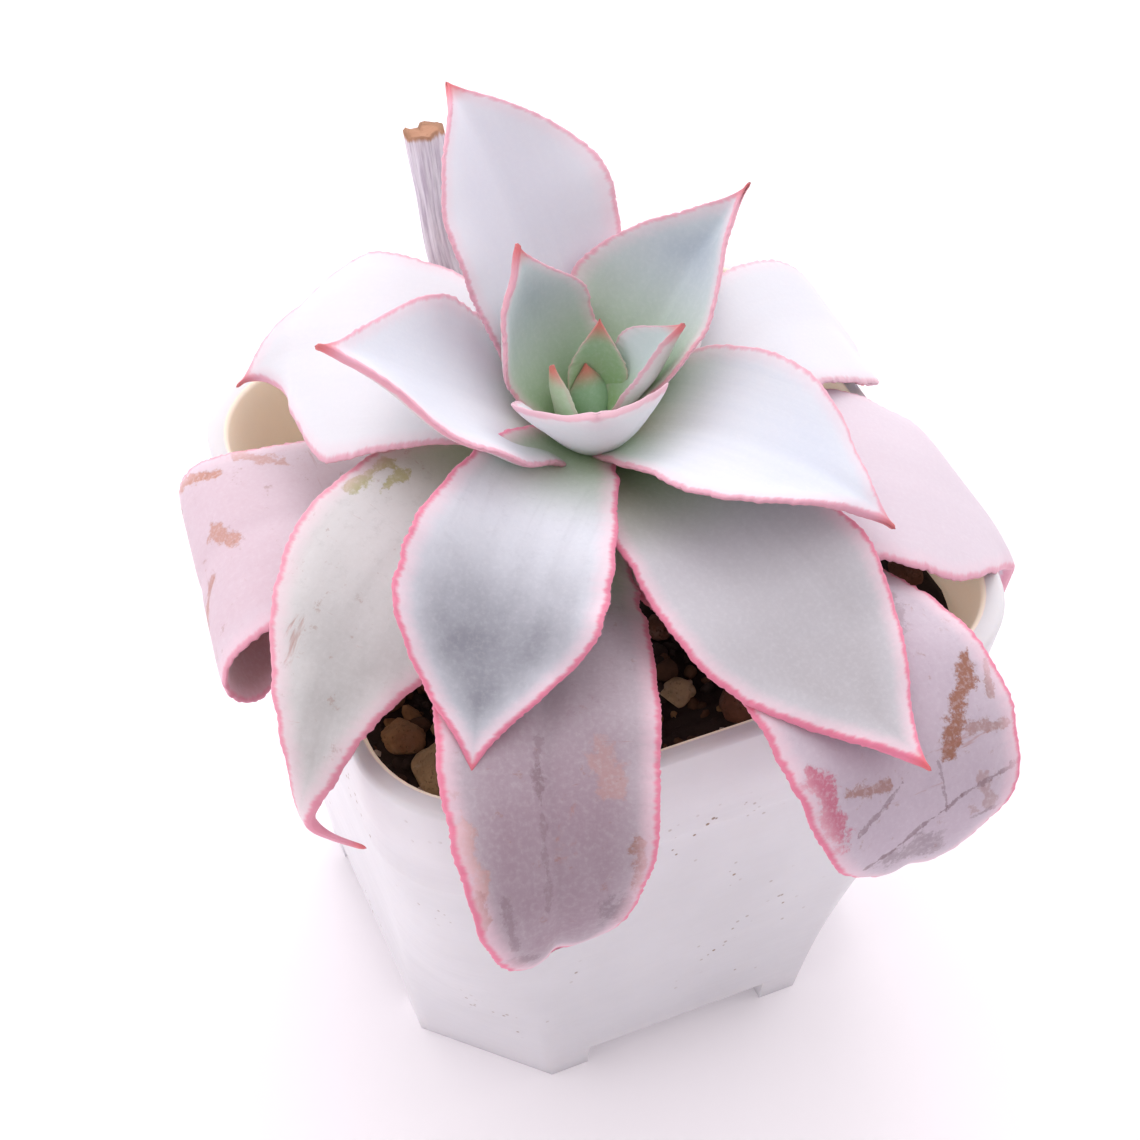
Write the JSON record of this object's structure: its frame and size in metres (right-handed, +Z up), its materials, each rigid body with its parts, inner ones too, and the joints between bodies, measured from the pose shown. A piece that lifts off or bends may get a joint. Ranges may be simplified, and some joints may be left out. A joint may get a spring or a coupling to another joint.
{
  "type": "potted succulent",
  "caption": "Powdery rosette succulent with pointed, pink-edged leaves and a cut stalk, growing in gritty soil in a square tapered plastic pot with corner feet.",
  "frame": {"origin": "the middle of the outline's footprint, at the underside of the pot's feet", "axes": "+Z up; X and Y along the sides of the square pot"},
  "size_m": [0.1224, 0.1312, 0.1428],
  "materials": {
    "pot": "satin moulded",
    "soil": "gritty, dark, matt",
    "stone": "rough, matt",
    "stem": "matt",
    "stalk": "matt, brown at the cut",
    "young_leaf": "powdery matt",
    "leaf": "powdery matt",
    "old_leaf": "powdery matt, scarred"
  },
  "bodies": {
    "root": {"stone_01": "stone", "stone_02": "stone", "stone_03": "stone", "stone_04": "stone", "stone_05": "stone", "stone_06": "stone", "stone_07": "stone", "stone_08": "stone", "stone_09": "stone", "stone_10": "stone", "stone_11": "stone", "stone_12": "stone", "stone_13": "stone", "stone_14": "stone", "stone_15": "stone", "stone_16": "stone", "pot": "pot", "soil": "soil", "stem": "stem", "heart_leaf_1": "young_leaf", "heart_leaf_2": "young_leaf", "heart_leaf_3": "young_leaf", "inner_leaf_1": "young_leaf", "inner_leaf_2": "young_leaf", "inner_leaf_3": "young_leaf", "middle_leaf_1": "leaf", "middle_leaf_2": "leaf", "middle_leaf_3": "leaf", "middle_leaf_4": "leaf", "middle_leaf_5": "leaf", "middle_leaf_6": "leaf", "outer_leaf_1": "old_leaf", "outer_leaf_2": "old_leaf", "outer_leaf_3": "old_leaf", "outer_leaf_4": "old_leaf", "outer_leaf_5": "old_leaf", "outer_leaf_6": "old_leaf", "outer_leaf_7": "old_leaf", "outer_leaf_8": "old_leaf", "outer_leaf_9": "old_leaf", "cut_stalk": "stalk"}
  },
  "joints": []
}
